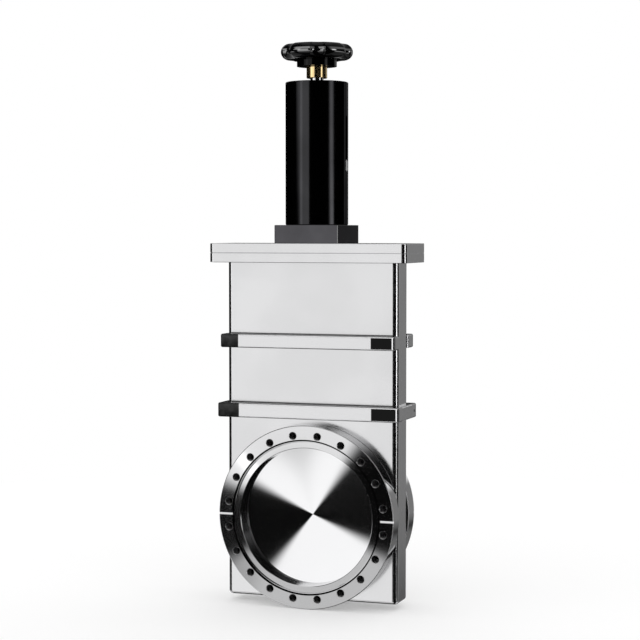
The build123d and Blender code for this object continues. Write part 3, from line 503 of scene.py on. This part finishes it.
def new_piece(name, mesh_builder, material, body, smooth=True):
    """Makes a piece from a bmesh, already in its place, and lets it ride on a body."""
    mesh = bpy.data.meshes.new(name)
    mesh_builder.to_mesh(mesh)
    mesh_builder.free()
    if smooth:
        mesh.shade_smooth()
    mesh.materials.append(material)
    piece = bpy.data.objects.new(name, mesh)
    bpy.context.scene.collection.objects.link(piece)
    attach(piece, body)
    return piece


def thread_ridge(builder, root_r, crest_r, pitch, turns, steps):
    """Helical ridge round +Z from the origin upwards, closed at both ends."""
    half_root, half_crest = pitch * 0.42, pitch * 0.10
    corners = [
        (root_r, -half_root),
        (crest_r, -half_crest),
        (crest_r, half_crest),
        (root_r, half_root),
    ]
    profile = [builder.verts.new((radius, 0.0, height)) for radius, height in corners]
    bmesh.ops.spin(
        builder,
        geom=[builder.faces.new(profile)],
        cent=(0.0, 0.0, 0.0),
        axis=(0.0, 0.0, 1.0),
        dvec=(0.0, 0.0, pitch / steps),
        angle=2 * math.pi * turns,
        steps=int(steps * turns),
        use_merge=False,
        use_duplicate=False,
    )


class GateValveFinishes(bpy.types.PropertyGroup):
    satin_level: FloatProperty(
        name="Satin brightness",
        description="Base brightness of the satin steel",
        default=0.64, min=0.0, max=1.0, subtype="FACTOR",
    )
    satin_roughness: FloatProperty(
        name="Satin roughness",
        description="Roughness of the satin steel",
        default=0.17, min=0.0, max=1.0, subtype="FACTOR",
    )
    rib_dark_left: FloatProperty(
        name="Left end of the ribs",
        description="Place left of which the ribs' faces are dark",
        default=-79.5 * MILLIMETRE, unit="LENGTH", precision=5,
    )
    rib_dark_right: FloatProperty(
        name="Right end of the ribs",
        description="Place right of which the ribs' faces are dark",
        default=74.0 * MILLIMETRE, unit="LENGTH", precision=5,
    )
    # width of the painted highlight on the right corner of the ribs' faces
    rib_corner: FloatProperty(
        name="Bright corner of the ribs",
        description="Width of the bright corner at the right end of the ribs' faces",
        default=2.9 * MILLIMETRE, unit="LENGTH", precision=5,
    )
    rib_edge: FloatProperty(
        name="Rounding of the ribs",
        description="Radius of the ribs' rounded edges",
        default=1.8 * MILLIMETRE, unit="LENGTH", precision=5,
    )
    machined_level: FloatProperty(
        name="Machined brightness",
        description="Base brightness of the machined steel of flanges and discs",
        default=0.62, min=0.0, max=1.0, subtype="FACTOR",
    )
    machined_roughness: FloatProperty(
        name="Machined roughness",
        description="Roughness of the machined steel of flanges and discs",
        default=0.09, min=0.0, max=1.0, subtype="FACTOR",
    )
    flange_level: FloatProperty(
        name="Flange brightness",
        description="Base brightness of the flanges' turned rings",
        default=0.69, min=0.0, max=1.0, subtype="FACTOR",
    )
    disc_level: FloatProperty(
        name="Disc brightness",
        description="Base brightness of the discs' turned faces",
        default=0.85, min=0.0, max=1.0, subtype="FACTOR",
    )
    flange_tilt: FloatProperty(
        name="Flange tool marks",
        description="Angle at which the tool marks of the flanges lean away from the axis",
        default=math.radians(14.0), subtype="ANGLE", unit="ROTATION",
    )
    disc_tilt: FloatProperty(
        name="Disc tool marks",
        description="Angle at which the tool marks of the discs lean away from the axis",
        default=math.radians(-18.5), subtype="ANGLE", unit="ROTATION",
    )
    turned_roughness: FloatProperty(
        name="Turned roughness",
        description="Roughness of the walls of the tool marks",
        default=0.09, min=0.0, max=1.0, subtype="FACTOR",
    )
    # the recess between this radius and recess_r carries painted shade
    knife_r: FloatProperty(
        name="Inner recess radius",
        description="Radius at which the dark gasket recess starts, just outside the knife edge",
        default=83.9 * MILLIMETRE, unit="LENGTH", precision=5,
    )
    recess_r: FloatProperty(
        name="Outer recess radius",
        description="Radius at which the dark gasket recess ends",
        default=85.7 * MILLIMETRE, unit="LENGTH", precision=5,
    )
    tube_colour: FloatVectorProperty(
        name="Tube colour",
        description="Colour of the light that the tube reflects",
        default=(0.031, 0.031, 0.033), min=0.0, max=1.0, subtype="COLOR",
    )
    block_colour: FloatVectorProperty(
        name="Block colour",
        description="Colour of the light that the block reflects",
        default=(0.062, 0.061, 0.066), min=0.0, max=1.0, subtype="COLOR",
    )
    anodised_edge: FloatProperty(
        name="Anodised edge",
        description="How much of a light the block and the tube reflect when seen aslant",
        default=0.5, min=0.0, max=1.0, subtype="FACTOR",
    )
    anodised_roughness: FloatProperty(
        name="Anodised roughness",
        description="Roughness of the block and the tube",
        default=0.11, min=0.0, max=1.0, subtype="FACTOR",
    )
    handwheel_colour: FloatVectorProperty(
        name="Handwheel colour",
        description="Colour of the moulded handwheel",
        default=(0.0008, 0.0008, 0.0009), min=0.0, max=1.0, subtype="COLOR",
    )
    rim_height: FloatProperty(
        name="Rim height",
        description="Height of the handwheel's rim",
        default=16.8 * MILLIMETRE, unit="LENGTH", precision=5,
    )
    polished_half: FloatProperty(
        name="Polished half height",
        description="How far the polished band of the rim reaches up and down from its middle",
        default=2.6 * MILLIMETRE, unit="LENGTH", precision=5,
    )
    brass_colour: FloatVectorProperty(
        name="Brass colour",
        description="Colour of the collar",
        default=(0.87, 0.66, 0.34), min=0.0, max=1.0, subtype="COLOR",
    )


class GateValveThreads(bpy.types.PropertyGroup):
    pitch: FloatProperty(
        name="Bolt thread pitch",
        description="Pitch of the thread in the flanges' bolt holes",
        default=1.25 * MILLIMETRE, unit="LENGTH", precision=5,
    )
    depth: FloatProperty(
        name="Bolt thread depth",
        description="How far the thread stands in from the wall of a bolt hole",
        default=0.55 * MILLIMETRE, unit="LENGTH", precision=5,
    )
    turns: IntProperty(
        name="Bolt thread turns",
        description="Turns of thread in each bolt hole",
        default=9, min=1,
    )
    start: FloatProperty(
        name="Bolt thread start",
        description="Depth at which the thread of a bolt hole starts",
        default=1.3 * MILLIMETRE, unit="LENGTH", precision=5,
    )


class GateValveStudio(bpy.types.PropertyGroup):
    camera_place: FloatVectorProperty(
        name="Camera place",
        description="Where the camera stands",
        default=(0.66136, -1.84007, 0.31453), subtype="TRANSLATION", unit="LENGTH",
    )
    camera_target: FloatVectorProperty(
        name="Camera target",
        description="Point in the middle of the picture",
        default=(0.01752, 0.0, 0.2169), subtype="TRANSLATION", unit="LENGTH",
    )
    lens: FloatProperty(
        name="Lens",
        description="Focal length of the camera in millimetres",
        default=101.25, min=1.0,
    )
    plain_level: FloatProperty(
        name="Plain light",
        description="Strength of the even light on matt surfaces",
        default=0.95, min=0.0,
    )
    gap_level: FloatProperty(
        name="Gap brightness",
        description="Brightness that polished metal sees between the lights",
        default=0.004, min=0.0,
    )
    mirror_azimuth: FloatProperty(
        name="Fan azimuth",
        description="Azimuth of the point round which the fan-shaped lights stand, in degrees",
        default=-19.5,
    )
    mirror_elevation: FloatProperty(
        name="Fan elevation",
        description="Elevation of the point round which the fan-shaped lights stand, in degrees",
        default=-9.0,
    )
    floor_level: FloatProperty(
        name="Floor brightness",
        description="Brightness of the floor in polished metal",
        default=0.85, min=0.0,
    )
    wall_level: FloatProperty(
        name="Wall brightness",
        description="Brightness of the walls behind the object in polished metal",
        default=0.4, min=0.0,
    )
    ceiling_level: FloatProperty(
        name="Ceiling brightness",
        description="Brightness of the ceiling in polished metal",
        default=0.9, min=0.0,
    )


def port_threads(name, mount_name, material):
    """Threads in one flange's bolt holes."""
    threads = bpy.context.scene.gate_valve_threads
    mount = MOUNTS[mount_name]
    wall_r = mount["dims"]["hole_r_mm"] * MILLIMETRE
    circle_r = mount["dims"]["pcd_mm"] / 2 * MILLIMETRE
    count = mount["dims"]["count"]
    outward = Vector(mount["axis"])
    one_hole = bmesh.new()
    crest_r = wall_r - threads.depth
    thread_ridge(one_hole, wall_r, crest_r, threads.pitch, threads.turns, THREAD_STEPS)
    turn = outward.to_track_quat("Z", "Y").to_matrix().to_4x4()
    depth = threads.start + threads.pitch * threads.turns
    bmesh.ops.transform(
        one_hole,
        matrix=Matrix.Translation(Vector(mount["pos_m"]) - outward * depth) @ turn,
        verts=one_hole.verts,
    )
    mesh = bpy.data.meshes.new("one_thread")
    one_hole.to_mesh(mesh)
    one_hole.free()
    builder = bmesh.new()
    for index in range(count):
        angle = math.radians(360.0 / count * (index + 0.5))
        first_new = len(builder.verts)
        builder.from_mesh(mesh)
        builder.verts.ensure_lookup_table()
        bmesh.ops.translate(
            builder,
            vec=(circle_r * math.cos(angle), 0.0, circle_r * math.sin(angle)),
            verts=builder.verts[first_new:],
        )
    bpy.data.meshes.remove(mesh)
    bmesh.ops.recalc_face_normals(builder, faces=builder.faces)
    return new_piece(name, builder, material, "valve_body", smooth=False)


class GATEVALVE_OT_welded_body(bpy.types.Operator):
    """Finish the housing and its ribs"""
    bl_idname = "gate_valve.welded_body"
    bl_label = "Welded body"

    def execute(self, context):
        settings = context.scene.gate_valve_finishes
        welded = ("upper_rib_front", "lower_rib_front")
        # heights of the painted shade lines, just above the ribs' tops
        shade_lines = [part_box(rib)[1].z + SHADE_LINE_LIFT for rib in welded]
        dress(satin_steel("satin_housing", settings, "Z", shade_lines), "gate_housing")
        dress(rib_steel("upper_ribs", settings, "upper_rib_front"),
              "upper_rib_front", "upper_rib_rear")
        dress(rib_steel("lower_ribs", settings, "lower_rib_front"),
              "lower_rib_front", "lower_rib_rear")
        dress(satin_steel("rib_strips", settings, "Y"), "lower_rib_left", "lower_rib_right")
        return {"FINISHED"}


class GATEVALVE_OT_bonnet(bpy.types.Operator):
    """Finish the two plates of the bonnet joint with their seal and screws"""
    bl_idname = "gate_valve.bonnet"
    bl_label = "Bonnet"

    def execute(self, context):
        settings = context.scene.gate_valve_finishes
        dress(satin_steel("satin_plates", settings, "X"), "housing_flange", "bonnet_plate")
        dress(rubber("seal_rubber_bonnet"), "bonnet_seal", "shaft_seals", "cartridge_seal")
        dress(plain_metal("screw_steel", grey(0.42), 0.30), "bonnet_screws", "block_screws",
              "tube_screws", "retainer_screws", "nut_screws", "hub_screw")
        dress(plain_metal("milled_steel", grey(0.62), 0.30), "seal_cartridge")
        return {"FINISHED"}


class GATEVALVE_OT_ports(bpy.types.Operator):
    """Finish the port flanges and add the threads of their bolt holes"""
    bl_idname = "gate_valve.ports"
    bl_label = "Ports"

    def execute(self, context):
        settings = context.scene.gate_valve_finishes
        dress(turned_steel("turned_flange", settings, settings.flange_level, settings.flange_tilt),
              "front_flange", "rear_flange")
        threaded = bolt_hole_black("bolt_threads")
        port_threads("front_bolt_threads", "front_flange_bolts", threaded)
        port_threads("rear_bolt_threads", "rear_flange_bolts", threaded)
        return {"FINISHED"}


class GATEVALVE_OT_gate(bpy.types.Operator):
    """Finish the gate with its carriage, springs, balls and rollers"""
    bl_idname = "gate_valve.gate"
    bl_label = "Gate"

    def execute(self, context):
        settings = context.scene.gate_valve_finishes
        dress(turned_steel("turned_disc", settings, settings.disc_level, settings.disc_tilt),
              "gate_disc", "counter_plate")
        dress(rubber("seal_rubber_gate"), "gate_seal")
        dress(white_plastic("slide_plastic"), "slide_ring")
        dress(satin_steel("carriage_steel", settings, "Z"),
              "carriage", "guide_rail_left", "guide_rail_right")
        dress(plain_metal("carriage_bronze", BRONZE, 0.32), "carriage_nut")
        dress(plain_metal("ground_steel", grey(0.72), 0.12), "locking_balls", "drive_pins",
              "roller_pins", "upper_left_roller", "lower_left_roller", "upper_right_roller",
              "lower_right_roller")
        dress(plain_metal("spring_steel", grey(0.36), 0.28), "leaf_springs", "cap_ring")
        return {"FINISHED"}


class GATEVALVE_OT_actuator(bpy.types.Operator):
    """Finish the block, the tube and the bearings in them"""
    bl_idname = "gate_valve.actuator"
    bl_label = "Actuator"

    def execute(self, context):
        settings = context.scene.gate_valve_finishes
        dress(anodised_black("anodised_tube", settings, settings.tube_colour),
              "actuator_tube", "tube_cap", "bearing_retainer")
        dress(anodised_black("anodised_block", settings, settings.block_colour, chamfer_highlight=0.1),
              "actuator_block")
        dress(plain_metal("bearing_bronze", BRONZE, 0.28), "upper_bush", "indicator_nut")
        dress(plain_metal("washer_steel", grey(0.60), 0.22),
              "lower_thrust_washer", "upper_thrust_washer", "hub_washer")
        dress(plain_metal("key_aluminium", grey(0.80), 0.35), "indicator_key")
        return {"FINISHED"}


class GATEVALVE_OT_handwheel(bpy.types.Operator):
    """Finish the handwheel, its collar and the spindle"""
    bl_idname = "gate_valve.handwheel"
    bl_label = "Handwheel"

    def execute(self, context):
        settings = context.scene.gate_valve_finishes
        dress(glossy_black("handwheel_black", settings), "handwheel")
        brass = tuple(settings.brass_colour) + (1.0,)
        dress(plain_metal("collar_brass", brass, 0.10, metallic=0.97), "brass_collar")
        dress(plain_metal("spindle_steel", grey(0.74), 0.16), "spindle")
        return {"FINISHED"}


class GATEVALVE_OT_studio(bpy.types.Operator):
    """Make the camera, the floor and the light"""
    bl_idname = "gate_valve.studio"
    bl_label = "Studio"

    def execute(self, context):
        scene = context.scene
        studio = scene.gate_valve_studio
        scene.view_settings.view_transform = "Standard"
        camera_data = bpy.data.cameras.new("camera")
        camera_data.lens = studio.lens
        camera_data.sensor_width = 36.0
        camera_data.clip_start = 0.05
        camera_data.clip_end = 50.0
        camera = bpy.data.objects.new("camera", camera_data)
        place, target = Vector(studio.camera_place), Vector(studio.camera_target)
        camera.location = place
        camera.rotation_mode = "QUATERNION"
        camera.rotation_quaternion = (target - place).to_track_quat("-Z", "Y")
        scene.collection.objects.link(camera)
        scene.camera = camera
        self.make_floor(scene)
        self.make_world(scene, studio)
        return {"FINISHED"}

    def make_floor(self, scene):
        builder = bmesh.new()
        bmesh.ops.create_circle(builder, cap_ends=True, segments=FLOOR_SIDES, radius=FLOOR_R)
        bmesh.ops.translate(builder, vec=(0.0, 0.0, CAD_BOX[0].z), verts=builder.verts)
        mesh = bpy.data.meshes.new("floor")
        builder.to_mesh(mesh)
        builder.free()
        material = bpy.data.materials.new("floor_white")
        material.use_nodes = True
        mesh.materials.append(material)
        finish = NodeTree(material.node_tree)
        finish.tree.nodes.clear()
        path = finish.node("ShaderNodeLightPath")
        matt = finish.node("ShaderNodeBsdfDiffuse", None, {"Color": grey(0.8)})
        glow = finish.node(
            "ShaderNodeEmission",
            None,
            {"Strength": path.output("Is Camera Ray") * FLOOR_GLOW},
        )
        lit = finish.node("ShaderNodeAddShader", None, {0: matt, 1: glow})
        finish.node("ShaderNodeOutputMaterial", None, {"Surface": lit})
        floor = bpy.data.objects.new("floor", mesh)
        floor.visible_glossy = False
        scene.collection.objects.link(floor)

    def make_world(self, scene, studio):
        """White to the camera, an even light to matt surfaces, lamps with gaps to metal."""
        world = bpy.data.worlds.new("studio")
        world.use_nodes = True
        world.cycles.sampling_method = "NONE"
        scene.world = world
        light = NodeTree(world.node_tree)
        light.tree.nodes.clear()
        path = light.node("ShaderNodeLightPath")
        way = light.node("ShaderNodeTexCoord").output("Generated")
        parts = light.node("ShaderNodeSeparateXYZ", None, {0: way})
        x, y, z = parts.output("X"), parts.output("Y"), parts.output("Z")
        azimuth = light.angle("ARCTAN2", x, y * -1.0)
        elevation = light.angle("ARCSINE", z)
        across = light.wrapped(azimuth - studio.mirror_azimuth)
        above = elevation - studio.mirror_elevation
        apart = (across * across + above * above) ** 0.5
        turn = light.angle("ARCTAN2", above, across)
        behind = light.wrapped(azimuth - REAR_MIDDLE)
        floor = elevation.ramp(*FLOOR_TOP, 1.0, 0.0) * elevation.ramp(*FLOOR_BOTTOM)
        floor = floor * abs(light.wrapped(azimuth - FRONT_MIDDLE)).ramp(*FLOOR_FRONT)
        floor = floor * abs(behind).ramp(*FLOOR_REAR, REAR_SHARE, 1.0)
        ceiling = elevation.ramp(*CEILING_BOTTOM)
        wall = elevation.ramp(*WALL_BOTTOM) * abs(across).ramp(*WALL_SIDE)
        seen = (floor * studio.floor_level).larger(ceiling * studio.ceiling_level)
        seen = seen.larger(wall * studio.wall_level)
        seen = seen.larger(studio.gap_level)
        for distance, width, middle, spread, level in FANS:
            lit = (apart - distance).within(width, FAN_EDGE) * level
            seen = seen.larger(lit * light.wrapped(turn - middle).within(spread, FAN_END_EDGE))
        for middle, width, edge, height, reach, level in SOFTBOXES:
            lit = light.wrapped(azimuth - middle).within(width, edge) * level
            seen = seen.larger(lit * (elevation - height).within(reach, SOFTBOX_END_EDGE))
        glossy = path.output("Is Glossy Ray")
        camera = path.output("Is Camera Ray")
        strength = glossy * seen + (1.0 - glossy) * studio.plain_level
        strength = camera + (1.0 - camera) * strength
        background = light.node(
            "ShaderNodeBackground",
            None,
            {"Color": grey(1.0), "Strength": strength},
        )
        light.node("ShaderNodeOutputWorld", None, {"Surface": background})


# What polished metal sees of the floor, the ceiling and the walls. Each pair holds the elevations
# or azimuths in degrees between which it fades. The floor is dark in front and dimmer behind.
FRONT_MIDDLE = 10.0
REAR_MIDDLE = 160.0
REAR_SHARE = 0.2
FLOOR_TOP = (-16.0, -12.0)
FLOOR_BOTTOM = (-65.0, -58.0)
FLOOR_FRONT = (68.0, 78.0)
FLOOR_REAR = (20.0, 30.0)
CEILING_BOTTOM = (56.0, 66.0)
WALL_BOTTOM = (8.0, 14.0)
WALL_SIDE = (75.0, 90.0)
# Half the soft edges of the lights in degrees
FAN_EDGE = 1.0
FAN_END_EDGE = 6.0
SOFTBOX_END_EDGE = 3.0
# Fan-shaped lights round the mirror image of the camera, in degrees: distance and half the width,
# then middle and half the spread counter-clockwise from +X, then the brightness. The last one is
# a low light in front, for views from straight ahead.
FANS = (
    (38.5, 6.0, -81.5, 56.5, 1.13),
    (38.5, 6.0, 106.0, 55.0, 1.10),
    (51.0, 9.0, 98.0, 42.0, 1.10),
    (30.5, 3.5, 108.0, 54.0, 1.12),
    (29.5, 3.0, -90.0, 66.0, 0.72),
    (0.0, 25.0, -90.0, 76.0, 0.75),
)
# Lights that stand round the object, in degrees: azimuth of the middle from the front towards +X,
# half the width and half its soft edge, elevation of the middle and half the height, brightness
SOFTBOXES = (
    (-27.75, 18.0, 1.0, -4.0, 14.0, 1.2),
    (-40.0, 5.0, 1.5, 3.0, 7.0, 2.0),
    (74.0, 7.0, 6.0, 4.0, 5.0, 1.8),
    (76.0, 7.0, 3.0, -2.5, 3.0, 4.6),
    (144.5, 5.5, 2.0, -4.0, 14.0, 0.45),
    (165.0, 15.0, 2.0, -2.0, 9.5, 0.25),
    (162.0, 6.0, 2.0, 8.5, 4.0, 1.2),
)


class GATEVALVE_PT_panel(bpy.types.Panel):
    """Lists the steps that dress the valve"""
    bl_label = "Gate Valve"
    bl_idname = "GATEVALVE_PT_panel"
    bl_space_type = "VIEW_3D"
    bl_region_type = "UI"
    bl_category = "Gate Valve"

    def draw(self, context):
        for step in STEPS:
            self.layout.operator(step.bl_idname)


STEPS = (
    GATEVALVE_OT_studio,
    GATEVALVE_OT_welded_body,
    GATEVALVE_OT_bonnet,
    GATEVALVE_OT_ports,
    GATEVALVE_OT_gate,
    GATEVALVE_OT_actuator,
    GATEVALVE_OT_handwheel,
)
SETTINGS = {
    "gate_valve_finishes": GateValveFinishes,
    "gate_valve_threads": GateValveThreads,
    "gate_valve_studio": GateValveStudio,
}


def register():
    for name, group in SETTINGS.items():
        bpy.utils.register_class(group)
        setattr(bpy.types.Scene, name, PointerProperty(type=group))
    for step in STEPS:
        bpy.utils.register_class(step)
    bpy.utils.register_class(GATEVALVE_PT_panel)


def unregister():
    bpy.utils.unregister_class(GATEVALVE_PT_panel)
    for step in reversed(STEPS):
        bpy.utils.unregister_class(step)
    for name, group in SETTINGS.items():
        delattr(bpy.types.Scene, name)
        bpy.utils.unregister_class(group)


def main():
    register()
    for step in STEPS:
        group, name = step.bl_idname.split(".")
        getattr(getattr(bpy.ops, group), name)()


if __name__ == "__main__":
    main()
